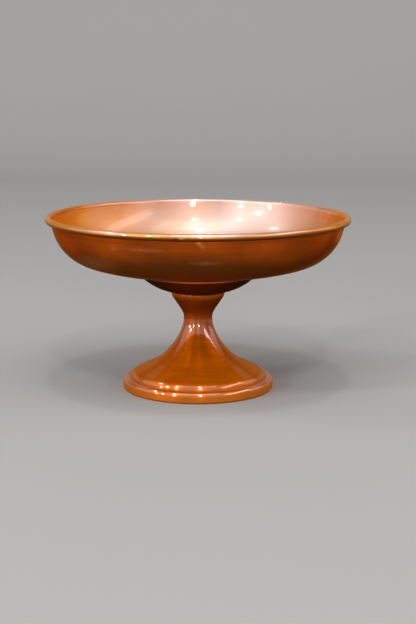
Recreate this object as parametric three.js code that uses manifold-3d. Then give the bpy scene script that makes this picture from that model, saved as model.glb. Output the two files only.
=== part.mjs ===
// Pedestal bowl of spun copper sheet, in millimetres with +Z up.
// A wide bowl with a wired rim stands on a shallow dish, a waisted hollow stem and a stepped
// hollow foot. One stud, hidden inside the stem, draws all of them together.
// The origin is the middle of the ring that the foot rests on.
import * as THREE from 'three';
import { mergeVertices } from 'three/addons/utils/BufferGeometryUtils.js';
import Module from 'manifold-3d';

// Sheet and fits
const sheetThickness = 0.8;
const clearance = 0.3;

// Bowl: angles are measured from the floor's plane
const rimDiameter = 200;
const rimWireDiameter = 2.2;
const bowlDepth = 38;
const bowlFlatBeyondPlate = 8;
const bowlFloorAngle = 16;
const bowlCornerRadius = 30.7;
const bowlCornerAngle = 71.5;
const bowlRimAngle = 83.6;

// Dish under the bowl
const dishHeight = 12.5;
const dishEdgeRadius = 40.5;
const dishFlatBeyondStem = 0.3;
const dishKnuckleRadius = 3;
const dishSideAngle = 11;

// Upper half of the stem, from the waist to the flange under the dish
const stemTopDiameter = 35.2;
const stemTopHeight = 17.8;
const stemTopAngle = 58;
const stemTopShoulderRadius = 6;
const stemTopCornerRadius = 0.9;
const stemTopPull = 8;
const stemWaistPull = 4.2;
const stemFlangeWidth = 6;

// Waist, where the two halves of the stem meet over a sleeve
const waistDiameter = 18.9;
const neckSleeveLength = 12;

// Foot, from the hem that it stands on up to the trumpet that ends at the waist
const footDiameter = 100;
const footHemWidth = 5;
const footEdgeRadius = 1.4;
const footBandHeight = 7.6;
const footBandRadius = 3;
const footGrooveAngle = 35;
const footGrooveRun = 0.7;
const footGrooveRadius = 0.25;
const footTierRise = 0.2;
const footTierRadius = 5;
const footDomeHeight = 18.1;
const footDomeTopRadius = 28.2;
const footDomeTopBend = 4;
const trumpetHeight = 29;
const trumpetAngle = 146;
const trumpetFootPull = 13;
const trumpetWaistPull = 8.2;

// Stud, nut and washers
const studDiameter = 5;
const studBelowNut = 3;
const studPlateDiameter = 40;
const studPlateThickness = 1.6;
const studHubDiameter = 12;
const studHubHeight = 6;
const coneWasherBelowWaist = 14;
const coneWasherThickness = 2.5;
const springWasherDiameter = 9.2;
const springWasherThickness = 1.2;
const springWasherSplit = 0.8;
const nutAcrossFlats = 8;
const nutHeight = 4;
const nutChamferAngle = 30;

// Facets round each kind of piece
const bowlFacets = 60;
const dishFacets = 36;
const stemFacets = 28;
const footFacets = 44;
const innerFacets = 24;
const nutChamferFacets = 48;

// Steps along the curves of each section
const bowlFloorSteps = 4;
const bowlCornerSteps = 7;
const bowlWallSteps = 3;
const rimCurlSteps = 9;
const rimWireSides = 6;
const dishKnuckleSteps = 2;
const dishSideSteps = 6;
const stemTopSteps = 6;
const stemTopShoulderSteps = 2;
const stemTopCornerSteps = 3;
const footEdgeSteps = 2;
const footBandSteps = 5;
const footGrooveSteps = 2;
const footTierSteps = 4;
const footDomeTopSteps = 1;
const trumpetSteps = 7;

// How far a cutting box stands past what it cuts, and how near two points are to count as one
const cutMargin = 1;
const mergeTolerance = 0.0001;

// Finishes
const copperColour = 0xb4622f;
const copperRoughness = 0.22;
const steelColour = 0xa9abad;
const steelRoughness = 0.4;

// Levels and radii that the pieces share
const waistLevel = footDomeHeight + trumpetHeight;
const dishLevel = waistLevel + stemTopHeight;
const bowlLevel = dishLevel + dishHeight;
const waistRadius = waistDiameter / 2;
const stemTopRadius = stemTopDiameter / 2;
const footRadius = footDiameter / 2;
const rimCurlRadius = rimWireDiameter / 2 + clearance;
const rimBeadRadius = rimCurlRadius + sheetThickness;
const rimCentreRadius = rimDiameter / 2 - rimBeadRadius;
const rimCentreLevel = bowlLevel + bowlDepth - rimBeadRadius;
const studHoleRadius = studDiameter / 2 + clearance;

const wasm = await Module();
wasm.setup();

// A line drawn across a section, whose points carry the direction of travel
class SectionPath {
  constructor(radius, level, degrees) {
    this.points = [{ radius, level, heading: THREE.MathUtils.degToRad(degrees) }];
  }

  get end() {
    return this.points[this.points.length - 1];
  }

  run(length) {
    const { radius, level, heading } = this.end;
    this.points.push({
      radius: radius + length * Math.cos(heading),
      level: level + length * Math.sin(heading),
      heading,
    });
    return this;
  }

  // Turns along an arc, to the left where the heading grows
  turnTo(degrees, arcRadius, steps) {
    const start = this.end;
    const sweep = THREE.MathUtils.degToRad(degrees) - start.heading;
    const side = Math.sign(sweep);
    for (let step = 1; step <= steps; step += 1) {
      const heading = start.heading + (sweep * step) / steps;
      this.points.push({
        radius: start.radius + side * arcRadius * (Math.sin(heading) - Math.sin(start.heading)),
        level: start.level + side * arcRadius * (Math.cos(start.heading) - Math.cos(heading)),
        heading,
      });
    }
    return this;
  }

  // Eases to a point and heading along a cubic curve with a pull at each end
  easeTo(radius, level, degrees, startPull, endPull, steps) {
    const start = this.end;
    const heading = THREE.MathUtils.degToRad(degrees);
    const curve = new THREE.CubicBezierCurve(
      new THREE.Vector2(start.radius, start.level),
      new THREE.Vector2(
        start.radius + startPull * Math.cos(start.heading),
        start.level + startPull * Math.sin(start.heading),
      ),
      new THREE.Vector2(radius - endPull * Math.cos(heading), level - endPull * Math.sin(heading)),
      new THREE.Vector2(radius, level),
    );
    for (let step = 1; step <= steps; step += 1) {
      const point = curve.getPoint(step / steps);
      const tangent = curve.getTangent(step / steps);
      this.points.push({
        radius: point.x,
        level: point.y,
        heading: Math.atan2(tangent.y, tangent.x),
      });
    }
    this.end.heading = heading;
    return this;
  }

  // The other face of a sheet whose first face is this path, on the left of the travel
  offset(distance) {
    return this.points.map(({ radius, level, heading }) => new THREE.Vector2(
      radius - distance * Math.sin(heading),
      level + distance * Math.cos(heading),
    ));
  }
}

// Sheet of one thickness laid along a path, as the outline of its section
function sheetOutline(path, thickness) {
  return [...path.offset(0), ...path.offset(thickness).reverse()];
}

// Solid of revolution about Z from an outline that runs anticlockwise with the radius to the right
function revolve(outline, facets) {
  const first = outline[0];
  const onAxis = first.x === 0 && outline[outline.length - 1].x === 0;
  const profile = onAxis ? outline : [...outline, first.clone()];
  return new THREE.LatheGeometry(profile, facets).rotateX(Math.PI / 2);
}

// Ring with a straight bore, from its outer corners given as radius and level from the bottom up
function boredRing(boreRadius, corners, facets) {
  const bottom = corners[0][1];
  const top = corners[corners.length - 1][1];
  const outline = [[boreRadius, bottom], ...corners, [boreRadius, top]];
  return revolve(outline.map(([radius, level]) => new THREE.Vector2(radius, level)), facets);
}

function toManifold(geometry) {
  geometry.deleteAttribute('normal');
  geometry.deleteAttribute('uv');
  const merged = mergeVertices(geometry, mergeTolerance);
  return new wasm.Manifold(new wasm.Mesh({
    numProp: 3,
    vertProperties: new Float32Array(merged.attributes.position.array),
    triVerts: new Uint32Array(merged.index.array),
  }));
}

function fromManifold(solid) {
  const { vertProperties, triVerts } = solid.getMesh();
  const geometry = new THREE.BufferGeometry();
  geometry.setAttribute('position', new THREE.BufferAttribute(vertProperties, 3));
  geometry.setIndex(new THREE.BufferAttribute(triVerts, 1));
  geometry.computeVertexNormals();
  return geometry;
}

// The bowl's floor and wall are three arcs in one line from the flat floor to the rim's curl.
// The floor's and the wall's radii follow from the height and width that the corner leaves.
function bowlUnderside() {
  const angles = [0, bowlFloorAngle, bowlCornerAngle, bowlRimAngle].map(THREE.MathUtils.degToRad);
  const rise = angles.slice(1).map((angle, i) => Math.cos(angles[i]) - Math.cos(angle));
  const reach = angles.slice(1).map((angle, i) => Math.sin(angle) - Math.sin(angles[i]));
  const flatRadius = studPlateDiameter / 2 + bowlFlatBeyondPlate;
  const wallTopRadius = rimCentreRadius - rimCurlRadius * Math.sin(angles[3]);
  const wallTopLevel = rimCentreLevel + rimCurlRadius * Math.cos(angles[3]);
  const width = wallTopRadius - flatRadius - bowlCornerRadius * reach[1];
  const height = wallTopLevel - bowlLevel - bowlCornerRadius * rise[1];
  const share = reach[0] * rise[2] - reach[2] * rise[0];
  const floorRadius = (width * rise[2] - height * reach[2]) / share;
  const wallRadius = (height * reach[0] - width * rise[0]) / share;
  return new SectionPath(0, bowlLevel, 0)
    .run(flatRadius)
    .turnTo(bowlFloorAngle, floorRadius, bowlFloorSteps)
    .turnTo(bowlCornerAngle, bowlCornerRadius, bowlCornerSteps)
    .turnTo(bowlRimAngle, wallRadius, bowlWallSteps);
}

// Bowl spun from one disc, its edge rolled outwards round the rim wire and back to the wall
function bowl() {
  const path = bowlUnderside();
  const opening = THREE.MathUtils.radToDeg(Math.acos((rimCurlRadius - clearance) / rimBeadRadius));
  path.turnTo(bowlRimAngle - (360 - opening), rimCurlRadius, rimCurlSteps);
  return revolve(sheetOutline(path, sheetThickness), bowlFacets);
}

function rimWire() {
  const wireRadius = rimWireDiameter / 2;
  return new THREE.TorusGeometry(rimCentreRadius, wireRadius, rimWireSides, bowlFacets)
    .translate(0, 0, rimCentreLevel);
}

// Level of a path's first face at a radius, along the stretch where the radius grows
function levelAt(path, radius) {
  const i = path.points.findIndex((point) => point.radius >= radius);
  const [a, b] = [path.points[i - 1], path.points[i]];
  return a.level + ((b.level - a.level) * (radius - a.radius)) / (b.radius - a.radius);
}

// Dish whose side rises in one arc from its flat to an edge trimmed level to seat under the bowl
function underDish() {
  const path = new SectionPath(studHoleRadius, dishLevel, 0)
    .run(stemTopRadius + dishFlatBeyondStem - studHoleRadius)
    .turnTo(dishSideAngle, dishKnuckleRadius, dishKnuckleSteps);
  const start = path.end;
  const width = dishEdgeRadius - start.radius;
  const height = levelAt(bowlUnderside(), dishEdgeRadius) - clearance - start.level;
  const lean = height * Math.cos(start.heading) - width * Math.sin(start.heading);
  const sideRadius = (width ** 2 + height ** 2) / (2 * lean);
  const edgeHeading = 2 * Math.atan2(height, width) - start.heading;
  path.turnTo(THREE.MathUtils.radToDeg(edgeHeading), sideRadius, dishSideSteps);
  const outline = sheetOutline(path, sheetThickness);
  const edge = path.end;
  outline[path.points.length].set(edge.radius - sheetThickness / Math.sin(edgeHeading), edge.level);
  return revolve(outline, dishFacets);
}

// Upper half of the stem, its flare drawn up at a shoulder and turned in as a flange under the dish
function stemTop() {
  const lean = THREE.MathUtils.degToRad(stemTopAngle);
  const shoulderStart = stemTopRadius - stemTopShoulderRadius * (1 - Math.sin(lean));
  const shoulderLevel = dishLevel - stemTopCornerRadius - stemTopShoulderRadius * Math.cos(lean);
  const path = new SectionPath(waistRadius, waistLevel, 90)
    .easeTo(shoulderStart, shoulderLevel, stemTopAngle, stemWaistPull, stemTopPull, stemTopSteps)
    .turnTo(90, stemTopShoulderRadius, stemTopShoulderSteps)
    .turnTo(180, stemTopCornerRadius, stemTopCornerSteps);
  path.run(path.end.radius - (stemTopRadius - stemFlangeWidth));
  return revolve(sheetOutline(path, sheetThickness), stemFacets);
}

// Sleeve that lines the two halves of the stem up at the waist
function neckSleeve() {
  const outer = waistRadius - sheetThickness - clearance;
  const low = waistLevel - neckSleeveLength / 2;
  const high = waistLevel + neckSleeveLength / 2;
  return boredRing(outer - sheetThickness, [[outer, low], [outer, high]], stemFacets);
}

// The foot's outer face: hem, band, groove, tier, dome and trumpet
function footPath() {
  const path = new SectionPath(footRadius - footEdgeRadius - footHemWidth, 0, 0)
    .run(footHemWidth)
    .turnTo(90, footEdgeRadius, footEdgeSteps)
    .run(footBandHeight - footBandRadius - footEdgeRadius)
    .turnTo(180 + footGrooveAngle, footBandRadius, footBandSteps)
    .run(footGrooveRun)
    .turnTo(90, footGrooveRadius, footGrooveSteps)
    .run(footTierRise);

  // The dome is the straight line from the tier's arc that just meets the dome's top edge
  const across = footDomeTopRadius - (path.end.radius - footTierRadius);
  const up = footDomeHeight - path.end.level;
  const distance = Math.hypot(across, up);
  const domeHeading = Math.atan2(up, across) + Math.asin(footTierRadius / distance);
  return path.turnTo(THREE.MathUtils.radToDeg(domeHeading), footTierRadius, footTierSteps)
    .run(Math.sqrt(distance ** 2 - footTierRadius ** 2))
    .turnTo(trumpetAngle, footDomeTopBend, footDomeTopSteps)
    .easeTo(waistRadius, waistLevel, 90, trumpetFootPull, trumpetWaistPull, trumpetSteps);
}

function foot() {
  return revolve(sheetOutline(footPath(), sheetThickness), footFacets);
}

// Radius inside the trumpet at a level, searched from the waist down
function trumpetBoreAt(level) {
  const inside = footPath().offset(sheetThickness).reverse();
  const i = inside.findIndex((point) => point.y <= level);
  const [above, below] = [inside[i - 1], inside[i]];
  return above.x + ((below.x - above.x) * (above.y - level)) / (above.y - below.y);
}

// Plate soldered flat under the bowl, with a tapped hub for the stud
function studPlate() {
  const plateBottom = bowlLevel - studPlateThickness;
  const hubBottom = plateBottom - studHubHeight;
  return boredRing(studHoleRadius, [
    [studHubDiameter / 2, hubBottom],
    [studHubDiameter / 2, plateBottom],
    [studPlateDiameter / 2, plateBottom],
    [studPlateDiameter / 2, bowlLevel],
  ], innerFacets);
}

const coneWasherTop = waistLevel - coneWasherBelowWaist;
const coneWasherBottom = coneWasherTop - coneWasherThickness;
const springWasherBottom = coneWasherBottom - springWasherThickness;
const nutBottom = springWasherBottom - nutHeight;

// Washer whose edge slopes with the inside of the trumpet, and so pulls the foot up
function coneWasher() {
  return boredRing(studHoleRadius, [
    [trumpetBoreAt(coneWasherBottom) - clearance, coneWasherBottom],
    [trumpetBoreAt(coneWasherTop) - clearance, coneWasherTop],
  ], innerFacets);
}

// Spring washer: a ring cut through on one side
function springWasher() {
  const outer = springWasherDiameter / 2;
  const ring = boredRing(studHoleRadius, [
    [outer, springWasherBottom],
    [outer, coneWasherBottom],
  ], innerFacets);
  const cutHeight = springWasherThickness + 2 * cutMargin;
  const split = new THREE.BoxGeometry(outer * 2, springWasherSplit, cutHeight)
    .translate(outer, 0, (springWasherBottom + coneWasherBottom) / 2);
  return fromManifold(toManifold(ring).subtract(toManifold(split)));
}

// Hexagonal nut, its corners chamfered on both faces
function hexNut() {
  const cornerRadius = nutAcrossFlats / Math.sqrt(3);
  const outline = new THREE.Shape();
  for (let corner = 0; corner < 6; corner += 1) {
    const angle = (corner * Math.PI) / 3;
    const draw = corner === 0 ? 'moveTo' : 'lineTo';
    outline[draw](cornerRadius * Math.cos(angle), cornerRadius * Math.sin(angle));
  }
  outline.closePath();
  const bore = new THREE.Path().absarc(0, 0, studHoleRadius, 0, Math.PI * 2, true);
  outline.holes.push(bore);
  const prism = new THREE.ExtrudeGeometry(outline, {
    depth: nutHeight,
    bevelEnabled: false,
    curveSegments: innerFacets / 2,
  }).translate(0, 0, nutBottom);

  const chamfer = (cornerRadius - nutAcrossFlats / 2) * Math.tan(
    THREE.MathUtils.degToRad(nutChamferAngle),
  );
  const barrel = revolve([
    new THREE.Vector2(0, nutBottom),
    new THREE.Vector2(nutAcrossFlats / 2, nutBottom),
    new THREE.Vector2(cornerRadius, nutBottom + chamfer),
    new THREE.Vector2(cornerRadius, nutBottom + nutHeight - chamfer),
    new THREE.Vector2(nutAcrossFlats / 2, nutBottom + nutHeight),
    new THREE.Vector2(0, nutBottom + nutHeight),
  ], nutChamferFacets);
  return fromManifold(toManifold(prism).intersect(toManifold(barrel)));
}

function tieStud() {
  const low = nutBottom - studBelowNut;
  const high = bowlLevel - clearance;
  return new THREE.CylinderGeometry(studDiameter / 2, studDiameter / 2, high - low, innerFacets)
    .rotateX(Math.PI / 2)
    .translate(0, 0, (low + high) / 2);
}

function metal(color, roughness) {
  return new THREE.MeshStandardMaterial({ color, roughness, metalness: 1 });
}

function copper() {
  return metal(copperColour, copperRoughness);
}

function steel() {
  return metal(steelColour, steelRoughness);
}

const pieces = [
  ['bowl', bowl, copper],
  ['rim_wire', rimWire, steel],
  ['under_dish', underDish, copper],
  ['stem_top', stemTop, copper],
  ['neck_sleeve', neckSleeve, copper],
  ['foot', foot, copper],
  ['stud_plate', studPlate, steel],
  ['tie_stud', tieStud, steel],
  ['cone_washer', coneWasher, steel],
  ['spring_washer', springWasher, steel],
  ['hex_nut', hexNut, steel],
];

const pedestalBowl = new THREE.Group();
pedestalBowl.name = 'pedestal_bowl';
for (const [name, shape, finish] of pieces) {
  const mesh = new THREE.Mesh(shape(), finish());
  mesh.name = name;
  pedestalBowl.add(mesh);
}

export default pedestalBowl;
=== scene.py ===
# Looks of a spun copper pedestal bowl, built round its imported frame. Metres, +Z up.
import math

import bmesh
import bpy
from mathutils import Matrix, Vector


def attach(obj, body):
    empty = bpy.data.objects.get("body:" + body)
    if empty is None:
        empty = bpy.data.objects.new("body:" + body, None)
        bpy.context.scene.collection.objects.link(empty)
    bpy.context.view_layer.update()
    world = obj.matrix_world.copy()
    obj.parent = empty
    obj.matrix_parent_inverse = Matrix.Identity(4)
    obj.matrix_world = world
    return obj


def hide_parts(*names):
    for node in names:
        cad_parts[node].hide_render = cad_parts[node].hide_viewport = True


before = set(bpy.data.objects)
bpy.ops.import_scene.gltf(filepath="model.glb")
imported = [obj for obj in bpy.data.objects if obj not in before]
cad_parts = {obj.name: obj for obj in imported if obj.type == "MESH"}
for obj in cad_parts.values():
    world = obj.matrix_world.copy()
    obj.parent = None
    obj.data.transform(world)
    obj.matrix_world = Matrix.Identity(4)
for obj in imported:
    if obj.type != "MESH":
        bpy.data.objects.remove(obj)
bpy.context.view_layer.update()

MM = 0.001

# Sheet and fits, in millimetres as in the part's source
SHEET = 0.8
CLEARANCE = 0.3
SEAM = 0.04

# Bowl
RIM_RADIUS = 100
RIM_WIRE_RADIUS = 1.1
BOWL_DEPTH = 38
BOWL_FLAT_RADIUS = 28
BOWL_FLOOR_ANGLE = 16
BOWL_CORNER_RADIUS = 30.7
BOWL_CORNER_ANGLE = 71.5
BOWL_RIM_ANGLE = 83.6

# Dish
DISH_HEIGHT = 12.5
DISH_EDGE_RADIUS = 40.5
DISH_FLAT_RADIUS = 18
DISH_KNUCKLE_RADIUS = 3
DISH_SIDE_ANGLE = 11

# Upper half of the stem
STEM_TOP_RADIUS = 17.6
STEM_TOP_HEIGHT = 17.8
STEM_TOP_ANGLE = 58
STEM_TOP_SHOULDER_RADIUS = 6
STEM_TOP_CORNER_RADIUS = 0.9
STEM_TOP_PULL = 8
STEM_WAIST_PULL = 4.2
STEM_FLANGE_WIDTH = 6
WAIST_RADIUS = 9.45
NECK_SLEEVE_LENGTH = 12

# Foot
FOOT_RADIUS = 50
FOOT_HEM_WIDTH = 5
FOOT_EDGE_RADIUS = 1.4
FOOT_BAND_HEIGHT = 7.6
FOOT_BAND_RADIUS = 3
FOOT_GROOVE_ANGLE = 35
FOOT_GROOVE_RUN = 0.7
FOOT_GROOVE_RADIUS = 0.25
FOOT_TIER_RISE = 0.2
FOOT_TIER_RADIUS = 5
FOOT_DOME_HEIGHT = 18.1
FOOT_DOME_TOP_RADIUS = 28.2
FOOT_DOME_TOP_BEND = 4
TRUMPET_HEIGHT = 29
TRUMPET_ANGLE = 146
TRUMPET_FOOT_PULL = 13
TRUMPET_WAIST_PULL = 8.2

# Stud, nut and washers
STUD_RADIUS = 2.5
STUD_PITCH = 0.8
STUD_THREAD_DEPTH = 0.45
STUD_THREAD_FLANK = 1.3
STUD_BELOW_NUT = 3
STUD_HOLE_RADIUS = STUD_RADIUS + CLEARANCE
STUD_PLATE_RADIUS = 20
STUD_PLATE_THICKNESS = 1.6
STUD_HUB_RADIUS = 6
STUD_HUB_HEIGHT = 6
CONE_WASHER_BELOW_WAIST = 14
CONE_WASHER_THICKNESS = 2.5
SPRING_WASHER_RADIUS = 4.6
SPRING_WASHER_THICKNESS = 1.2
SPRING_WASHER_SPLIT = 0.8
NUT_ACROSS_FLATS = 8
NUT_HEIGHT = 4
NUT_CHAMFER_ANGLE = 30
NUT_FACE_SHARE = 0.95
NUT_BORE_CHAMFER = 0.3
NUT_SHARP_ANGLE = 25

# Levels and radii that the pieces share
WAIST_LEVEL = FOOT_DOME_HEIGHT + TRUMPET_HEIGHT
DISH_LEVEL = WAIST_LEVEL + STEM_TOP_HEIGHT
BOWL_LEVEL = DISH_LEVEL + DISH_HEIGHT
RIM_CURL_RADIUS = RIM_WIRE_RADIUS + CLEARANCE
RIM_BEAD_RADIUS = RIM_CURL_RADIUS + SHEET
RIM_CENTRE_RADIUS = RIM_RADIUS - RIM_BEAD_RADIUS
RIM_CENTRE_LEVEL = BOWL_LEVEL + BOWL_DEPTH - RIM_BEAD_RADIUS
CONE_WASHER_TOP = WAIST_LEVEL - CONE_WASHER_BELOW_WAIST
CONE_WASHER_BOTTOM = CONE_WASHER_TOP - CONE_WASHER_THICKNESS
SPRING_WASHER_BOTTOM = CONE_WASHER_BOTTOM - SPRING_WASHER_THICKNESS
NUT_BOTTOM = SPRING_WASHER_BOTTOM - NUT_HEIGHT

# How far hard corners are softened
SOFT_EDGE = 0.2
FINE_SOFT_EDGE = 0.15
WAIST_SOFT_EDGE = 0.03
PLATE_SOFT_EDGE = 0.4
CONE_WASHER_SOFT_EDGE = 0.35

# Facets round each turned piece
BOWL_FACETS = 288
FOOT_FACETS = 240
DISH_FACETS = 192
STEM_TOP_FACETS = 144
RIM_WIRE_FACETS = 192
RIM_WIRE_ROUND_FACETS = 16
SMALL_PIECE_FACETS = 96
SPRING_WASHER_FACETS = 72
STUD_FACETS = 24
STUD_STEPS_PER_PITCH = 6

# Zones of the copper's finish and its painted highlight and shade, in millimetres: where each
# starts and where it is full
BEAD_RADII = (95.5, 96.8)
CREASE_RADII = (94, 94.8)
CREASE_LEVELS = (110.6, 111.2)
CREST_RADII = (42.5, 44.5)
TRUMPET_TOP_LEVELS = (26, 36)

# Painted highlight, a light line over the dish's edge: its radius, and how far from it the line is
# full and gone
DISH_HIGHLIGHT_RADIUS = 39.3
DISH_HIGHLIGHT_FULL = 0.2
DISH_HIGHLIGHT_GONE = 0.7

# Radius that the wear and painted reflection on the far side are measured by, and what keeps a
# direction from the axis finite on the axis
FAR_SIDE_RADIUS = 92
AXIS_GUARD = 0.5

# Marks: centre, size, strength and colour. Some are painted highlights and painted shade, as noted
# below. One larger than LARGE_MARK is broken up more coarsely.
WALL_MARKS_AND_HIGHLIGHTS = (
    # Painted highlights and reflections: bright orange spots under the bead at the front, and pale
    # patches on the wall's front
    ((1.2, -97, 109.6), (2.4, 6, 2), 0.9, (1, 0.34, 0.05)),
    ((3.2, -97, 107.8), (2.6, 6, 2.2), 0.6, (1, 0.3, 0.04)),
    ((-33, -90, 104.6), (18, 8, 2.2), 0.17, (0.9, 0.4, 0.18)),
    ((6, -95, 97), (15, 8, 1.9), 0.24, (0.9, 0.42, 0.2)),
    ((-50, -80, 104.2), (3.4, 4, 2), 0.18, (0.9, 0.42, 0.2)),
    # Darker patches towards the right, a bright orange patch at the right, and a pale patch low on
    # the left
    ((70, -66, 105), (8, 8, 4), 0.5, (0.16, 0.03, 0.002)),
    ((84, -46, 104), (6, 8, 5), 0.5, (0.2, 0.04, 0.003)),
    ((91, -32, 106), (6, 16, 8), 0.6, (1, 0.3, 0.04)),
    ((-64, -61, 92), (24, 22, 7), 0.22, (0.75, 0.33, 0.16)),
)
# Painted shade: a darker band round the stem's waist
WAIST_SHADE_MARKS = (
    ((0, 0, 48), (26, 26, 8), 0.6, (0.3, 0.075, 0.006)),
)
INSIDE_MARKS = (
    ((98, 8, 102), (50, 90, 50), 1.0, (0.66, 0.2, 0.008)),
)
RIM_MARKS = (
    ((-12.3, -99, 112.6), (2.4, 2, 1.1), 1.0, (0.012, 0.005, 0.002)),
    ((-9, -99.2, 113.1), (2.6, 2, 1), 0.7, (0.95, 0.5, 0.2)),
    ((65.1, -74.6, 111.6), (2, 2.2, 2.2), 0.8, (0.12, 0.03, 0.006)),
    ((77.5, -61, 112.4), (1.8, 2, 1.8), 0.8, (0.12, 0.03, 0.006)),
)
LARGE_MARK = 40

# What several finishes share, painted highlight and shade colours among them
RUBBED_HIGHLIT_COPPER = (1.0, 0.38, 0.04)
FRONT_HIGHLIGHT_COPPER = (0.94, 0.64, 0.54)
DISH_HIGHLIGHT_COLOUR = (0.92, 0.27, 0.11)
CREASE_DIRT_AND_SHADE_COLOUR = (0.012, 0.006, 0.003)
LACQUER_IOR = 3.0

# Camera, from the fit to the photograph: its place from the foot's centre, in millimetres, how
# it is turned, in degrees, and its focal length in the photograph's pixels
PHOTO_HEIGHT = 624
CAMERA_RIGHT = 6.6
CAMERA_BACK = 867
CAMERA_HEIGHT = 218.2
CAMERA_DOWN = 10.96
CAMERA_ROLL = 0.13
FOCAL_PIXELS = 1328
SENSOR = 36

# Studio, in metres
STAGE_HALF_WIDTH = 4.0
STAGE_FRONT = -4.0
STAGE_BACK = 2.2
STAGE_HEIGHT = 1.1
STAGE_SWEEP = 0.7
STAGE_SWEEP_STEPS = 16
STAGE_COLOUR = (0.46, 0.457, 0.45)
LIGHT_TARGET = Vector((0, 0, 0.08))
LAMP_DISTANCE = 2.5
LAMP_SIZE = (0.13, 0.22)
LAMP_COLOUR = (1, 0.98, 0.95)

# Small lamps that make the white glints: azimuth and elevation in degrees, and radiance
LAMPS = (
    (4, 12, 50), (3, 44, 64), (2, 76, 60), (-36, 13, 64),
    (-42, 42, 72), (-55, 22, 74), (-64, 11, 46), (-88, 46, 50),
)

# Surroundings: dim all round, and brighter towards one side, given as a direction
WORLD_BRIGHT_SIDE = Vector((-0.05, -0.78, 0.62)).normalized()
WORLD_RISE_START = 0.2
WORLD_DIM = (0.1, 0.1, 0.1, 1)
WORLD_BRIGHT = (0.45, 0.46, 0.48, 1)


class SectionPath:
    """A line drawn across a section, whose points carry the direction of travel.

    An arc is cut into steps no longer than STEP millimetres that turn no more than TURN."""

    STEP = 1.1
    TURN = math.radians(6)

    def __init__(self, radius, level, degrees):
        self.points = [(radius, level, math.radians(degrees))]

    def run(self, length):
        radius, level, heading = self.points[-1]
        steps = max(1, math.ceil(length / (2 * self.STEP)))
        for step in range(1, steps + 1):
            along = length * step / steps
            self.points.append((
                radius + along * math.cos(heading), level + along * math.sin(heading), heading,
            ))
        return self

    def turn_to(self, degrees, arc_radius):
        radius, level, start = self.points[-1]
        sweep = math.radians(degrees) - start
        side = math.copysign(1, sweep)
        by_turn = abs(sweep) / self.TURN
        by_step = abs(sweep) * arc_radius / self.STEP
        steps = max(2, math.ceil(max(by_turn, by_step)))
        for step in range(1, steps + 1):
            heading = start + sweep * step / steps
            self.points.append((
                radius + side * arc_radius * (math.sin(heading) - math.sin(start)),
                level + side * arc_radius * (math.cos(start) - math.cos(heading)),
                heading,
            ))
        return self

    def ease_to(self, radius, level, degrees, start_pull, end_pull):
        """Cubic curve to a point and a direction, pulled straight at each end by a length."""
        start_radius, start_level, start = self.points[-1]
        end = math.radians(degrees)
        a = Vector((start_radius, start_level))
        d = Vector((radius, level))
        b = a + start_pull * Vector((math.cos(start), math.sin(start)))
        c = d - end_pull * Vector((math.cos(end), math.sin(end)))
        steps = math.ceil((d - a).length / self.STEP)
        for step in range(1, steps + 1):
            t = step / steps
            u = 1 - t
            point = u**3 * a + 3 * u**2 * t * b + 3 * u * t**2 * c + t**3 * d
            slope = u**2 * (b - a) + 2 * u * t * (c - b) + t**2 * (d - c)
            self.points.append((point.x, point.y, math.atan2(slope.y, slope.x)))
        return self

    def offset(self, distance):
        return [
            (r - distance * math.sin(h), z + distance * math.cos(h)) for r, z, h in self.points
        ]


def soften(outline, edge, closed=True):
    """Rounds the outline's hard corners with small arcs, kept within a share of a short side."""
    hard = math.radians(35)
    share_of_side = 0.45
    arc_steps = 4
    result = []
    count = len(outline)
    for i, here in enumerate(outline):
        if not closed and i in (0, count - 1):
            result.append(here)
            continue
        p = Vector(here)
        before = Vector(outline[i - 1]) - p
        after = Vector(outline[(i + 1) % count]) - p
        turn = math.pi - before.angle(after)
        if turn < hard:
            result.append(here)
            continue
        cut = min(edge, share_of_side * before.length, share_of_side * after.length)
        a = p + before.normalized() * cut
        b = p + after.normalized() * cut
        for step in range(arc_steps + 1):
            t = step / arc_steps
            point = (1 - t)**2 * a + 2 * t * (1 - t) * p + t**2 * b
            result.append((point.x, point.y))
    return result


def sheet_outline(path, edge):
    """Outline of the sheet above a path. A path that starts on the axis is left open there."""
    outline = path.offset(0) + path.offset(SHEET)[::-1]
    return soften(outline, edge, closed=path.points[0][0] > 0)


def turned_point(radius, level, angle):
    """Point in metres, from a radius and a level in millimetres."""
    return (radius * math.cos(angle) * MM, radius * math.sin(angle) * MM, level * MM)


def new_piece(name, mesh):
    piece = bpy.data.objects.new(name, mesh)
    bpy.context.scene.collection.objects.link(piece)
    mesh.polygons.foreach_set("use_smooth", [True] * len(mesh.polygons))
    return piece


def revolve(name, outline, facets):
    """Solid of revolution from an outline in millimetres. It may start and end on the axis."""
    on_axis = 1e-6
    vertices = []
    rings = []
    for radius, level in outline:
        first = len(vertices)
        if radius < on_axis:
            vertices.append((0, 0, level * MM))
            rings.append([first] * facets)
            continue
        vertices += [turned_point(radius, level, math.tau * i / facets) for i in range(facets)]
        rings.append(list(range(first, first + facets)))
    bands = len(rings) - 1 if outline[0][0] < on_axis else len(rings)
    faces = []
    for j in range(bands):
        low, high = rings[j], rings[(j + 1) % len(rings)]
        for i in range(facets):
            k = (i + 1) % facets
            corners = []
            for corner in (low[i], low[k], high[k], high[i]):
                if corner not in corners:
                    corners.append(corner)
            if len(corners) > 2:
                faces.append(corners)
    mesh = bpy.data.meshes.new(name)
    mesh.from_pydata(vertices, [], faces)
    return new_piece(name, mesh)


def bored_ring(name, bore, corners, edge):
    """Ring with a straight bore, from the corners of its outside, lowest first."""
    outline = [(bore, corners[0][1]), *corners, (bore, corners[-1][1])]
    return revolve(name, soften(outline, edge), SMALL_PIECE_FACETS)


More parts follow.
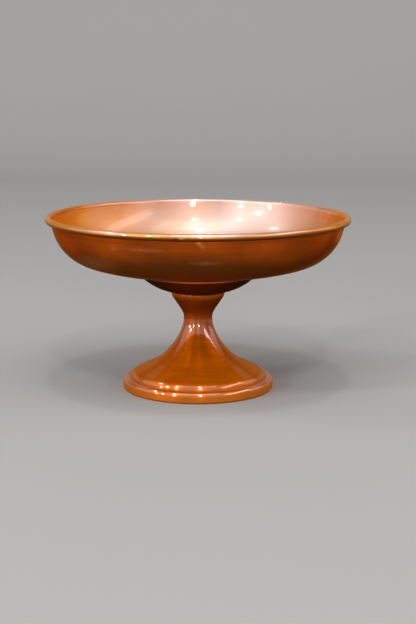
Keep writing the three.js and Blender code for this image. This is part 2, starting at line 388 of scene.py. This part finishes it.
def bowl_underside():
    """The bowl's lower face: a flat and three arcs.

    The first and last radii are solved so that the wall ends where the curl starts."""
    angles = [math.radians(a) for a in (0, BOWL_FLOOR_ANGLE, BOWL_CORNER_ANGLE, BOWL_RIM_ANGLE)]
    rise = [math.cos(a) - math.cos(b) for a, b in zip(angles, angles[1:])]
    reach = [math.sin(b) - math.sin(a) for a, b in zip(angles, angles[1:])]
    wall_top_radius = RIM_CENTRE_RADIUS - RIM_CURL_RADIUS * math.sin(angles[3])
    wall_top_level = RIM_CENTRE_LEVEL + RIM_CURL_RADIUS * math.cos(angles[3])
    width = wall_top_radius - BOWL_FLAT_RADIUS - BOWL_CORNER_RADIUS * reach[1]
    height = wall_top_level - BOWL_LEVEL - BOWL_CORNER_RADIUS * rise[1]
    share = reach[0] * rise[2] - reach[2] * rise[0]
    floor_radius = (width * rise[2] - height * reach[2]) / share
    wall_radius = (height * reach[0] - width * rise[0]) / share
    path = SectionPath(0, BOWL_LEVEL, 0).run(BOWL_FLAT_RADIUS)
    path.turn_to(BOWL_FLOOR_ANGLE, floor_radius)
    path.turn_to(BOWL_CORNER_ANGLE, BOWL_CORNER_RADIUS)
    return path.turn_to(BOWL_RIM_ANGLE, wall_radius)


def make_bowl():
    """The sheet curls round the wire until its outer corner is a clearance from the wall."""
    path = bowl_underside()
    gap = math.degrees(math.acos((RIM_CURL_RADIUS - CLEARANCE) / RIM_BEAD_RADIUS))
    path.turn_to(BOWL_RIM_ANGLE - (360 - gap), RIM_CURL_RADIUS)
    return revolve("bowl_spun", sheet_outline(path, SOFT_EDGE), BOWL_FACETS)


def make_rim_wire():
    circle = []
    for i in range(RIM_WIRE_ROUND_FACETS):
        angle = math.tau * i / RIM_WIRE_ROUND_FACETS
        circle.append((
            RIM_CENTRE_RADIUS + RIM_WIRE_RADIUS * math.cos(angle),
            RIM_CENTRE_LEVEL + RIM_WIRE_RADIUS * math.sin(angle),
        ))
    return revolve("rim_wire_round", circle, RIM_WIRE_FACETS)


def level_at(path, radius):
    """Level at which a path that runs outwards reaches a radius."""
    for (r0, z0, _), (r1, z1, _) in zip(path.points, path.points[1:]):
        if r1 >= radius:
            return z0 + (z1 - z0) * (radius - r0) / (r1 - r0)


def make_dish():
    """The dish's side is one arc that ends just under the bowl, and its edge is cut level."""
    path = SectionPath(STUD_HOLE_RADIUS, DISH_LEVEL, 0)
    path.run(DISH_FLAT_RADIUS - STUD_HOLE_RADIUS).turn_to(DISH_SIDE_ANGLE, DISH_KNUCKLE_RADIUS)
    radius, level, heading = path.points[-1]
    width = DISH_EDGE_RADIUS - radius
    height = level_at(bowl_underside(), DISH_EDGE_RADIUS) - SEAM - level
    lean = height * math.cos(heading) - width * math.sin(heading)
    side_radius = (width**2 + height**2) / (2 * lean)
    edge_heading = 2 * math.atan2(height, width) - heading
    path.turn_to(math.degrees(edge_heading), side_radius)
    outline = path.offset(0) + path.offset(SHEET)[::-1]
    edge_radius, edge_level, _ = path.points[-1]
    outline[len(path.points)] = (edge_radius - SHEET / math.sin(edge_heading), edge_level)
    return revolve("under_dish_spun", soften(outline, FINE_SOFT_EDGE), DISH_FACETS)


def make_stem_top():
    lean = math.radians(STEM_TOP_ANGLE)
    shoulder_radius = STEM_TOP_RADIUS - STEM_TOP_SHOULDER_RADIUS * (1 - math.sin(lean))
    corner_level = DISH_LEVEL - STEM_TOP_CORNER_RADIUS
    shoulder_level = corner_level - STEM_TOP_SHOULDER_RADIUS * math.cos(lean)
    path = SectionPath(WAIST_RADIUS, WAIST_LEVEL, 90)
    path.ease_to(shoulder_radius, shoulder_level, STEM_TOP_ANGLE, STEM_WAIST_PULL, STEM_TOP_PULL)
    path.turn_to(90, STEM_TOP_SHOULDER_RADIUS).turn_to(180, STEM_TOP_CORNER_RADIUS)
    path.run(path.points[-1][0] - (STEM_TOP_RADIUS - STEM_FLANGE_WIDTH))
    return revolve("stem_top_spun", sheet_outline(path, WAIST_SOFT_EDGE), STEM_TOP_FACETS)


def make_neck_sleeve():
    outer = WAIST_RADIUS - SHEET - CLEARANCE
    low = WAIST_LEVEL - NECK_SLEEVE_LENGTH / 2
    high = WAIST_LEVEL + NECK_SLEEVE_LENGTH / 2
    corners = [(outer, low), (outer, high)]
    return bored_ring("neck_sleeve_tube", outer - SHEET, corners, SOFT_EDGE)


def foot_path():
    """The foot's outside, from hem to waist.

    The dome is straight: it leaves the tier's arc along a tangent that reaches the dome's top."""
    path = SectionPath(FOOT_RADIUS - FOOT_EDGE_RADIUS - FOOT_HEM_WIDTH, 0, 0)
    path.run(FOOT_HEM_WIDTH).turn_to(90, FOOT_EDGE_RADIUS)
    path.run(FOOT_BAND_HEIGHT - FOOT_BAND_RADIUS - FOOT_EDGE_RADIUS)
    path.turn_to(180 + FOOT_GROOVE_ANGLE, FOOT_BAND_RADIUS)
    path.run(FOOT_GROOVE_RUN).turn_to(90, FOOT_GROOVE_RADIUS).run(FOOT_TIER_RISE)
    radius, level, _ = path.points[-1]
    across = FOOT_DOME_TOP_RADIUS - (radius - FOOT_TIER_RADIUS)
    up = FOOT_DOME_HEIGHT - level
    distance = math.hypot(across, up)
    dome_heading = math.atan2(up, across) + math.asin(FOOT_TIER_RADIUS / distance)
    path.turn_to(math.degrees(dome_heading), FOOT_TIER_RADIUS)
    path.run(math.sqrt(distance**2 - FOOT_TIER_RADIUS**2))
    path.turn_to(TRUMPET_ANGLE, FOOT_DOME_TOP_BEND)
    path.ease_to(WAIST_RADIUS, WAIST_LEVEL - SEAM, 90, TRUMPET_FOOT_PULL, TRUMPET_WAIST_PULL)
    return path


def make_foot():
    return revolve("foot_spun", sheet_outline(foot_path(), WAIST_SOFT_EDGE), FOOT_FACETS)


def trumpet_bore_at(level):
    """Radius of the trumpet's inside at a level."""
    inside = foot_path().offset(SHEET)[::-1]
    for (r0, z0), (r1, z1) in zip(inside, inside[1:]):
        if z1 <= level:
            return r0 + (r1 - r0) * (z0 - level) / (z0 - z1)


def make_stud_plate():
    plate_bottom = BOWL_LEVEL - STUD_PLATE_THICKNESS
    hub_bottom = plate_bottom - STUD_HUB_HEIGHT
    return bored_ring("stud_plate_turned", STUD_HOLE_RADIUS, [
        (STUD_HUB_RADIUS, hub_bottom),
        (STUD_HUB_RADIUS, plate_bottom),
        (STUD_PLATE_RADIUS, plate_bottom),
        (STUD_PLATE_RADIUS, BOWL_LEVEL),
    ], PLATE_SOFT_EDGE)


def make_cone_washer():
    """Washer whose sloped edge stands a clearance inside the trumpet."""
    return bored_ring("cone_washer_turned", STUD_HOLE_RADIUS, [
        (trumpet_bore_at(CONE_WASHER_BOTTOM) - CLEARANCE, CONE_WASHER_BOTTOM),
        (trumpet_bore_at(CONE_WASHER_TOP) - CLEARANCE, CONE_WASHER_TOP),
    ], CONE_WASHER_SOFT_EDGE)


def grid_mesh(name, rows, closed_rows=False, closed_columns=True, caps=False):
    """Mesh from rows of points.

    Closed columns join each row's ends, and closed rows join the last row to the first."""
    vertices = [point for row in rows for point in row]
    count, width = len(rows), len(rows[0])
    faces = []
    for j in range(count if closed_rows else count - 1):
        for i in range(width if closed_columns else width - 1):
            a, b = j * width, ((j + 1) % count) * width
            k = (i + 1) % width
            faces.append((a + i, a + k, b + k, b + i))
    if caps:
        faces.append(tuple(reversed(range(width))))
        faces.append(tuple(range((count - 1) * width, count * width)))
    mesh = bpy.data.meshes.new(name)
    mesh.from_pydata(vertices, [], faces)
    work = bmesh.new()
    work.from_mesh(mesh)
    bmesh.ops.recalc_face_normals(work, faces=work.faces)
    work.to_mesh(mesh)
    work.free()
    return new_piece(name, mesh)


def make_spring_washer():
    """Split ring: one section swept from one side of the split to the other."""
    outer, inner = SPRING_WASHER_RADIUS, STUD_HOLE_RADIUS
    half_split = SPRING_WASHER_SPLIT / 2 / ((outer + inner) / 2)
    section = soften([
        (inner, SPRING_WASHER_BOTTOM), (outer, SPRING_WASHER_BOTTOM),
        (outer, CONE_WASHER_BOTTOM), (inner, CONE_WASHER_BOTTOM),
    ], FINE_SOFT_EDGE)
    rows = []
    for step in range(SPRING_WASHER_FACETS + 1):
        angle = half_split + (math.tau - 2 * half_split) * step / SPRING_WASHER_FACETS
        rows.append([turned_point(radius, level, angle) for radius, level in section])
    return grid_mesh("spring_washer_coil", rows, caps=True)


def hex_nut_section(angle):
    """The nut's outline at an angle. The chamfer is a cone, so it drops furthest at a corner."""
    flat = NUT_ACROSS_FLATS / 2
    face = flat * NUT_FACE_SHARE
    from_flat = angle % (math.pi / 3) - math.pi / 6
    side = flat / math.cos(from_flat)
    drop = (side - face) * math.tan(math.radians(NUT_CHAMFER_ANGLE))
    bore = STUD_HOLE_RADIUS
    mouth = bore + NUT_BORE_CHAMFER
    bottom, top = NUT_BOTTOM, NUT_BOTTOM + NUT_HEIGHT
    return [
        (bore, bottom + NUT_BORE_CHAMFER), (mouth, bottom), (face, bottom), (side, bottom + drop),
        (side, top - drop), (face, top), (mouth, top), (bore, top - NUT_BORE_CHAMFER),
    ]


def make_hex_nut():
    angles = [math.tau * i / SMALL_PIECE_FACETS for i in range(SMALL_PIECE_FACETS)]
    columns = [
        [turned_point(radius, level, angle) for radius, level in hex_nut_section(angle)]
        for angle in angles
    ]
    nut = grid_mesh("hex_nut_chamfered", list(zip(*columns)), closed_rows=True)
    mark_sharp(nut, NUT_SHARP_ANGLE)
    return nut


def mark_sharp(piece, degrees):
    work = bmesh.new()
    work.from_mesh(piece.data)
    for edge in work.edges:
        if len(edge.link_faces) == 2 and edge.calc_face_angle() > math.radians(degrees):
            edge.smooth = False
    work.to_mesh(piece.data)
    work.free()


def make_tie_stud():
    """Stud with a helical thread: its radius follows a ridge that climbs one pitch a turn."""
    low, high = NUT_BOTTOM - STUD_BELOW_NUT, BOWL_LEVEL - CLEARANCE
    root_radius = STUD_RADIUS - STUD_THREAD_DEPTH
    steps = round((high - low) / STUD_PITCH * STUD_STEPS_PER_PITCH)
    rows = []
    for step in range(steps + 1):
        level = low + (high - low) * step / steps
        from_end = min(level - low, high - level)
        row = []
        for i in range(STUD_FACETS):
            phase = (level / STUD_PITCH - i / STUD_FACETS) % 1
            ridge = abs(2 * phase - 1)
            radius = STUD_RADIUS - STUD_THREAD_DEPTH * min(1, STUD_THREAD_FLANK * ridge)
            radius = min(radius, root_radius + from_end)
            row.append(turned_point(radius, level, math.tau * i / STUD_FACETS))
        rows.append(row)
    return grid_mesh("tie_stud_threaded", rows, caps=True)


class Nodes:
    """Shorthand for building a material's nodes. A colour is given without its alpha."""

    def __init__(self, name):
        self.material = bpy.data.materials.new(name)
        self.material.use_nodes = True
        self.tree = self.material.node_tree
        self.shader = self.tree.nodes["Principled BSDF"]

    def set(self, socket, value):
        if isinstance(value, bpy.types.NodeSocket):
            self.tree.links.new(value, socket)
        elif socket.type == "RGBA":
            socket.default_value = (*value, 1)
        else:
            socket.default_value = value

    def shade(self, inputs):
        for key, value in inputs.items():
            self.set(self.shader.inputs[key], value)

    def add(self, kind, inputs=None, **settings):
        node = self.tree.nodes.new(kind)
        for key, value in settings.items():
            setattr(node, key, value)
        for key, value in (inputs or {}).items():
            self.set(node.inputs[key], value)
        return node

    def split(self, vector):
        return tuple(self.add("ShaderNodeSeparateXYZ", {"Vector": vector}).outputs)

    def math(self, operation, *values):
        inputs = dict(enumerate(values))
        return self.add("ShaderNodeMath", inputs, operation=operation).outputs[0]

    def plus(self, a, b):
        return self.math("ADD", a, b)

    def times(self, a, b):
        return self.math("MULTIPLY", a, b)

    def vector_math(self, operation, *values):
        inputs = dict(enumerate(values))
        return self.add("ShaderNodeVectorMath", inputs, operation=operation).outputs

    def noise(self, vector, scale, detail, w=None, roughness=0.5):
        inputs = {"Vector": vector, "Scale": scale, "Detail": detail, "Roughness": roughness}
        if w is None:
            return self.add("ShaderNodeTexNoise", inputs).outputs["Fac"]
        inputs["W"] = w
        return self.add("ShaderNodeTexNoise", inputs, noise_dimensions="4D").outputs["Fac"]

    def remap(self, value, low, high, to_low, to_high):
        return self.add("ShaderNodeMapRange", {
            "Value": value, "From Min": low, "From Max": high, "To Min": to_low, "To Max": to_high,
        }).outputs["Result"]

    def fade(self, value, start, end, full=1.0):
        """From 0 where the value is at start to full where it is at end."""
        return self.remap(value, start, end, 0.0, full)

    def mix(self, factor, a, b):
        node = self.add("ShaderNodeMix", data_type="RGBA")
        for key, value in (("Factor", factor), (6, a), (7, b)):
            self.set(node.inputs[key], value)
        return node.outputs[2]

    def spot(self, place, centre, size):
        """Soft spot that fades from 1 near its centre to 0 at its size, both in millimetres."""
        near = self.vector_math("SUBTRACT", place, Vector(centre) * MM)[0]
        scaled = self.vector_math("DIVIDE", near, Vector(size) * MM)[0]
        far = self.vector_math("LENGTH", scaled)["Value"]
        return self.remap(far, 0.1, 1.0, 1.0, 0.0)

    def bump(self, height, distance, strength, normal=None):
        """Bump of a distance in millimetres, on top of another where a normal is given."""
        inputs = {"Height": height, "Distance": distance * MM, "Strength": strength}
        if normal is not None:
            inputs["Normal"] = normal
        return self.add("ShaderNodeBump", inputs).outputs[0]


class SpunCopper(Nodes):
    """Spun copper under an amber lacquer. Its colour is laid on in layers, some of them painted
    highlight and shade, and then finished.
    """

    def __init__(self, name, bright, deep):
        super().__init__(name)
        coordinates = self.add("ShaderNodeTexCoord").outputs
        self.place = coordinates["Object"]
        self.x, self.y, self.level = self.split(self.place)
        self.facing_x, self.facing_y, self.facing_up = self.split(coordinates["Normal"])
        squares = self.plus(self.times(self.x, self.x), self.times(self.y, self.y))
        self.radius = self.math("SQRT", squares)
        off_axis = self.plus(self.radius, AXIS_GUARD * MM)
        self.around_x = self.math("DIVIDE", self.x, off_axis)
        self.around_y = self.math("DIVIDE", self.y, off_axis)

        self.rings = self.turned_noise(along=2600, around=1.4, detail=3)
        self.wide_rings = self.turned_noise(along=260, around=1.2, detail=2)
        self.streaks = self.turned_noise(along=820, around=3, detail=2)
        self.patches = self.noise(self.place, scale=26, detail=4)
        self.smears = self.noise(self.place, scale=90, detail=3, roughness=0.6)
        self.grit = self.noise(self.place, scale=300, detail=2)
        self.uneven = self.times(self.math("SUBTRACT", self.patches, 0.5), 0.5)
        self.rubbed_and_highlit = None
        self.crease_dirt_and_shade = None

        lines = self.plus(self.times(self.wide_rings, 0.22), self.times(self.streaks, 0.28))
        tone = self.plus(self.times(self.patches, 0.5), lines)
        self.colour = self.mix(self.fade(tone, 0.4, 0.61), deep, bright)

    def turned_noise(self, along, around, detail):
        """Noise that is fine along the section and long round the axis, with no seam."""
        vector = self.add("ShaderNodeCombineXYZ", {
            "X": self.times(self.radius, along),
            "Y": self.times(self.level, along),
            "Z": self.times(self.around_x, around),
        }).outputs[0]
        return self.noise(vector, 1.0, detail, w=self.times(self.around_y, around))

    def zone(self, value, limits, full=1.0):
        """Fade between two limits in millimetres."""
        return self.fade(value, limits[0] * MM, limits[1] * MM, full)

    def lay(self, factor, colour):
        self.colour = self.mix(factor, self.colour, colour)

    def tarnish_and_shade_below(self, colour, darkest=-0.65):
        """Tarnish and painted shade on what faces down, full where the normal's Z is as low as
        darkest.
        """
        self.lay(self.fade(self.plus(self.facing_up, self.uneven), 0.15, darkest), colour)

    def rub_and_highlight_bead(self):
        """The bead's top is worn bare and given a painted highlight, paler on its front."""
        top = self.times(self.zone(self.radius, BEAD_RADII), self.fade(self.facing_up, 0.0, 0.55))
        self.rubbed_and_highlit = self.times(top, self.remap(self.smears, 0.35, 0.6, 0.5, 1.0))
        front = self.fade(self.around_y, -0.55, -0.9)
        pale = self.times(self.remap(self.patches, 0.4, 0.55, 0.2, 1.0), front)
        self.lay(self.rubbed_and_highlit, self.mix(pale, RUBBED_HIGHLIT_COPPER, FRONT_HIGHLIGHT_COPPER))

    def tint_crests(self, colour):
        """Tints the foot's tier and band, outside the dome."""
        self.lay(self.zone(self.radius, CREST_RADII, 0.42), colour)

    def paint_far_side_wear_and_reflection(self, colour):
        """Paler towards the back, mostly on what faces the axis: lacquer worn thin, and a painted
        reflection.
        """
        across = self.plus(self.times(self.x, 0.28), self.y)
        toward = self.times(across, 1 / (FAR_SIDE_RADIUS * MM))
        far_side = self.plus(toward, self.times(self.uneven, 1.6))
        outward = self.plus(
            self.times(self.facing_x, self.around_x), self.times(self.facing_y, self.around_y),
        )
        inner = self.remap(outward, -0.1, 0.6, 1.0, 0.15)
        self.lay(self.times(inner, self.fade(far_side, 0.38, 1.08)), colour)

    def paint_dish_edge_highlight(self):
        """Painted highlight: a light line along the dish's edge and on the bowl above it,
        brightest at the front.
        """
        from_line = self.math("SUBTRACT", self.radius, DISH_HIGHLIGHT_RADIUS * MM)
        distance = self.math("ABSOLUTE", from_line)
        line = self.remap(distance, DISH_HIGHLIGHT_FULL * MM, DISH_HIGHLIGHT_GONE * MM, 0.85, 0.0)
        front = self.remap(self.around_y, -0.75, -0.96, 0.3, 1.0)
        self.lay(self.times(line, front), DISH_HIGHLIGHT_COLOUR)

    def darken_crease_dirt_and_shade(self):
        """Dark line of grime and painted shade in the crease under the bead, heaviest at the
        front.
        """
        under = self.times(
            self.zone(self.radius, CREASE_RADII), self.fade(self.facing_up, -0.5, -0.8),
        )
        crease = self.times(self.zone(self.level, CREASE_LEVELS), under)
        front = self.remap(self.around_y, -0.9, -0.4, 1.0, 0.5)
        patchy = self.times(self.remap(self.patches, 0.35, 0.6, 0.6, 1.0), front)
        self.crease_dirt_and_shade = self.times(crease, patchy)
        self.lay(self.crease_dirt_and_shade, CREASE_DIRT_AND_SHADE_COLOUR)

    def mark(self, marks):
        """Marks, some of them painted highlight and shade, the large ones broken up by smears and
        the small ones by grit.
        """
        for centre, size, strength, colour in marks:
            breaking = self.smears if max(size) > LARGE_MARK else self.grit
            broken = self.remap(breaking, 0.35, 0.6, 0.6, 1.0)
            spot = self.times(self.spot(self.place, centre, size), broken)
            self.lay(self.times(spot, strength), colour)

    def finish(self, metal, smooth, rough, stretch, grazing, coat, haze, polished=None):
        """Sets the shader: metal brushed round the axis, under a lacquer that thins below.

        Where polished is given, upward faces on the crests have up to that much lacquer."""
        grain = self.plus(self.times(self.smears, 0.9), self.times(self.rings, 0.1))
        roughness = self.remap(grain, 0.3, 0.7, smooth, rough)
        if self.rubbed_and_highlit is not None:
            roughness = self.times(roughness, self.remap(self.rubbed_and_highlit, 0.0, 0.8, 1.0, 0.87))
        gloss = self.fade(self.facing_up, -0.6, 0.15, coat)
        if polished:
            crests = self.math(
                "MAXIMUM", self.zone(self.radius, CREST_RADII),
                self.zone(self.level, TRUMPET_TOP_LEVELS, 0.8),
            )
            upward = self.fade(self.facing_up, 0.05, 0.25, polished - coat)
            gloss = self.plus(gloss, self.times(crests, upward))
        waves = self.bump(self.noise(self.place, scale=34, detail=1), 1, 0.6)
        turned = self.bump(self.rings, 0.003, 0.3, waves)
        orange_peel = self.noise(self.place, scale=500, detail=1)
        metallic = metal if self.crease_dirt_and_shade is None else self.remap(self.crease_dirt_and_shade, 0.0, 1.0, metal, 0.0)
        tangent = self.add("ShaderNodeTangent", direction_type="RADIAL", axis="Z").outputs[0]
        self.shade({
            "Base Color": self.colour,
            "Metallic": metallic,
            "Roughness": roughness,
            "Specular Tint": grazing,
            "Specular IOR Level": 0.0,
            "Anisotropic": stretch,
            "Anisotropic Rotation": 0.25,
            "Tangent": tangent,
            "Normal": self.bump(self.wide_rings, 0.3, 0.2, turned),
            "Coat Weight": gloss,
            "Coat Roughness": haze,
            "Coat IOR": LACQUER_IOR,
            "Coat Normal": self.bump(orange_peel, 0.05, 0.3, waves),
        })
        return self.material


def amber_copper():
    """The foot, glossiest on the tier, the band and the trumpet's top."""
    copper = SpunCopper("amber_copper", bright=(0.83, 0.18, 0.003), deep=(0.65, 0.117, 0.001))
    copper.tarnish_and_shade_below((0.17, 0.035, 0.002))
    copper.tint_crests((0.9, 0.25, 0.008))
    copper.mark(WAIST_SHADE_MARKS)
    return copper.finish(
        metal=0.5, smooth=0.29, rough=0.36, stretch=0.85, grazing=(1, 0.76, 0.15),
        coat=0.1, haze=0.05, polished=0.7,
    )


def shaded_neck_copper():
    """The upper half of the stem, which is in the bowl's shade, and the sleeve in it: darker than
    the foot, with a duller grazing tint, as painted shade.
    """
    copper = SpunCopper("shaded_neck_copper", bright=(0.78, 0.155, 0.003), deep=(0.6, 0.1, 0.001))
    copper.tarnish_and_shade_below((0.19, 0.04, 0.003))
    copper.mark(WAIST_SHADE_MARKS)
    return copper.finish(
        metal=0.55, smooth=0.29, rough=0.36, stretch=0.85, grazing=(0.45, 0.22, 0.05),
        coat=0.05, haze=0.05,
    )


def shaded_copper():
    """The dish, the darkest piece: its dark colours and grazing tint are painted shade."""
    copper = SpunCopper("shaded_copper", bright=(0.62, 0.095, 0.002), deep=(0.44, 0.06, 0.001))
    copper.tarnish_and_shade_below((0.1, 0.024, 0.004))
    copper.paint_dish_edge_highlight()
    return copper.finish(
        metal=0.6, smooth=0.29, rough=0.4, stretch=0.7, grazing=(0.2, 0.08, 0.025),
        coat=0.02, haze=0.05,
    )


def shaded_outside_copper():
    """The bowl's outside: darker copper and grazing tint than the inside, as painted shade."""
    copper = SpunCopper("shaded_outside_copper", bright=(0.82, 0.13, 0.002), deep=(0.5, 0.068, 0.001))
    copper.tarnish_and_shade_below((0.14, 0.038, 0.007))
    copper.paint_dish_edge_highlight()
    copper.darken_crease_dirt_and_shade()
    copper.mark(WALL_MARKS_AND_HIGHLIGHTS)
    return copper.finish(
        metal=0.6, smooth=0.29, rough=0.4, stretch=0.7, grazing=(0.8, 0.4, 0.12),
        coat=0.02, haze=0.05,
    )


def lit_inside_copper():
    """The bowl's inside: paler copper than the outside, partly its own colour and partly painted
    light.
    """
    copper = SpunCopper("lit_inside_copper", bright=(0.95, 0.38, 0.03), deep=(0.84, 0.27, 0.01))
    copper.rub_and_highlight_bead()
    copper.paint_far_side_wear_and_reflection((0.77, 0.57, 0.51))
    copper.mark(INSIDE_MARKS)
    return copper.finish(
        metal=0.75, smooth=0.4, rough=0.52, stretch=0.5, grazing=(1, 0.75, 0.4),
        coat=0.14, haze=0.09,
    )


def rim_copper():
    """The bowl's bead, with a painted highlight on its top and painted shade on its lower half."""
    copper = SpunCopper("rim_copper", bright=(0.9, 0.3, 0.03), deep=(0.76, 0.21, 0.015))
    copper.tarnish_and_shade_below((0.2, 0.06, 0.01), darkest=-0.3)
    copper.rub_and_highlight_bead()
    copper.paint_far_side_wear_and_reflection((0.84, 0.58, 0.5))
    copper.darken_crease_dirt_and_shade()
    copper.mark(RIM_MARKS)
    return copper.finish(
        metal=0.7, smooth=0.32, rough=0.44, stretch=0.3, grazing=(1, 0.8, 0.5),
        coat=0.1, haze=0.06, polished=0.34,
    )


def plated_steel():
    """The rim's wire and what holds the stem together."""
    steel = Nodes("plated_steel")
    place = steel.add("ShaderNodeTexCoord").outputs["Object"]
    patches = steel.noise(place, scale=180, detail=4)
    grain = steel.noise(place, scale=2200, detail=2)
    dull, bright = (0.3, 0.29, 0.27), (0.6, 0.6, 0.58)
    steel.shade({
        "Base Color": steel.mix(steel.fade(patches, 0.35, 0.7), dull, bright),
        "Metallic": 1.0,
        "Roughness": steel.remap(patches, 0.3, 0.7, 0.5, 0.28),
        "Normal": steel.bump(grain, 0.03, 0.4),
    })
    return steel.material


def pale_paper():
    """The floor and backdrop."""
    paper = Nodes("pale_paper")
    place = paper.add("ShaderNodeTexCoord").outputs["Object"]
    darker = tuple(0.97 * part for part in STAGE_COLOUR)
    paper.shade({
        "Base Color": paper.mix(paper.noise(place, scale=3, detail=3), darker, STAGE_COLOUR),
        "Roughness": 0.85,
        "Specular IOR Level": 0.2,
    })
    return paper.material


def dress(piece, materials, *nodes):
    for material in materials:
        piece.data.materials.append(material)
    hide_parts(*nodes)
    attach(piece, "root")


def dress_bowl(bowl):
    """Gives the outside, the inside and the bead a finish each."""
    inside, bead = 1, 2
    upward = 0.02
    bead_margin = 0.1
    dress(bowl, [shaded_outside_copper(), lit_inside_copper(), rim_copper()], "bowl")
    for face in bowl.data.polygons:
        centre = face.center / MM
        radius = math.hypot(centre.x, centre.y)
        from_wire = math.hypot(radius - RIM_CENTRE_RADIUS, centre.z - RIM_CENTRE_LEVEL)
        outward = face.normal.x * centre.x + face.normal.y * centre.y
        if from_wire < RIM_BEAD_RADIUS + bead_margin:
            face.material_index = bead
        elif face.normal.z > upward or outward < 0:
            face.material_index = inside


def make_pieces():
    neck = shaded_neck_copper()
    steel = plated_steel()
    dress_bowl(make_bowl())
    for make, node, finish in (
        (make_dish, "under_dish", shaded_copper()), (make_stem_top, "stem_top", neck),
        (make_neck_sleeve, "neck_sleeve", neck), (make_foot, "foot", amber_copper()),
    ):
        piece = make()
        dress(piece, [finish], node)
    for make, node in (
        (make_rim_wire, "rim_wire"), (make_stud_plate, "stud_plate"),
        (make_tie_stud, "tie_stud"), (make_cone_washer, "cone_washer"),
        (make_spring_washer, "spring_washer"), (make_hex_nut, "hex_nut"),
    ):
        piece = make()
        dress(piece, [steel], node)


def make_stage():
    """Floor that sweeps up into a backdrop, in one pale colour."""
    sweep_start = STAGE_BACK - STAGE_SWEEP
    profile = [(STAGE_FRONT, 0.0), (sweep_start, 0.0)]
    for step in range(1, STAGE_SWEEP_STEPS + 1):
        angle = math.radians(90 * step / STAGE_SWEEP_STEPS)
        profile.append((
            sweep_start + STAGE_SWEEP * math.sin(angle),
            STAGE_SWEEP - STAGE_SWEEP * math.cos(angle),
        ))
    profile.append((STAGE_BACK, STAGE_HEIGHT))
    rows = [[(-STAGE_HALF_WIDTH, y, z), (STAGE_HALF_WIDTH, y, z)] for y, z in profile]
    stage = grid_mesh("stage_floor", rows, closed_columns=False)
    stage.data.materials.append(pale_paper())


def make_world():
    """Even grey light that is brighter towards the front and above."""
    world = bpy.data.worlds.new("studio")
    bpy.context.scene.world = world
    world.use_nodes = True
    tree = world.node_tree
    background = tree.nodes["Background"]
    place = tree.nodes.new("ShaderNodeTexCoord")
    facing = tree.nodes.new("ShaderNodeVectorMath")
    facing.operation = "DOT_PRODUCT"
    facing.inputs[1].default_value = WORLD_BRIGHT_SIDE
    tree.links.new(place.outputs["Generated"], facing.inputs[0])
    ramp = tree.nodes.new("ShaderNodeValToRGB")
    ramp.color_ramp.interpolation = "EASE"
    dim, bright = ramp.color_ramp.elements
    dim.position, dim.color = WORLD_RISE_START, WORLD_DIM
    bright.position, bright.color = 1.0, WORLD_BRIGHT
    tree.links.new(facing.outputs["Value"], ramp.inputs["Fac"])
    tree.links.new(ramp.outputs["Color"], background.inputs["Color"])
    background.inputs["Strength"].default_value = 1.0


def softbox(name, azimuth, elevation, distance, size, radiance, colour=(1, 1, 1), roll=0):
    """Area light that faces the bowl, with the power that gives its radiance over its area.

    Azimuth runs from the camera's side to its right, and elevation upwards, in degrees."""
    light = bpy.data.lights.new(name, "AREA")
    light.shape = "RECTANGLE"
    light.size, light.size_y = size
    light.energy = radiance * size[0] * size[1] * math.pi
    light.color = colour
    turn, lift = math.radians(azimuth), math.radians(elevation)
    across = distance * math.cos(lift)
    offset = Vector((across * math.sin(turn), -across * math.cos(turn), distance * math.sin(lift)))
    lamp = bpy.data.objects.new(name, light)
    lamp.location = LIGHT_TARGET + offset
    lamp.rotation_euler = (-offset).to_track_quat("-Z", "Y").to_euler()
    lamp.rotation_euler.rotate_axis("Z", math.radians(roll))
    bpy.context.scene.collection.objects.link(lamp)


def make_lights():
    softbox("overhead", 0, 66, 2.3, size=(2.2, 1.2), radiance=1.9)
    softbox("left", -92, 24, 2.3, size=(1.8, 1.5), radiance=0.5)
    softbox("right", 105, 24, 2.3, size=(1.5, 1.3), radiance=0.65)
    softbox("window", 71, 35, 2.3, size=(2.4, 0.48), radiance=3.0, colour=(1, 0.87, 0.82), roll=25)
    softbox("rear", 180, 42, 2.6, size=(2.4, 0.9), radiance=0.4, colour=(0.92, 0.94, 1))
    for i, (azimuth, elevation, radiance) in enumerate(LAMPS):
        softbox(f"lamp_{i}", azimuth, elevation, LAMP_DISTANCE, LAMP_SIZE, radiance, LAMP_COLOUR)


def make_camera():
    """The image stands upright, so Blender fits the sensor's width to the image's height."""
    camera = bpy.data.cameras.new("camera")
    camera.sensor_width = SENSOR
    camera.lens = FOCAL_PIXELS / PHOTO_HEIGHT * SENSOR
    holder = bpy.data.objects.new("camera", camera)
    tilt = Matrix.Rotation(math.radians(90 - CAMERA_DOWN), 4, "X")
    roll = Matrix.Rotation(math.radians(CAMERA_ROLL), 4, "Z")
    place = Matrix.Translation((CAMERA_RIGHT * MM, -CAMERA_BACK * MM, CAMERA_HEIGHT * MM))
    holder.matrix_world = place @ tilt @ roll
    bpy.context.scene.collection.objects.link(holder)
    bpy.context.scene.camera = holder


make_pieces()
make_stage()
make_world()
make_lights()
make_camera()
bpy.context.scene.view_settings.view_transform = "Standard"

bpy.context.view_layer.update()
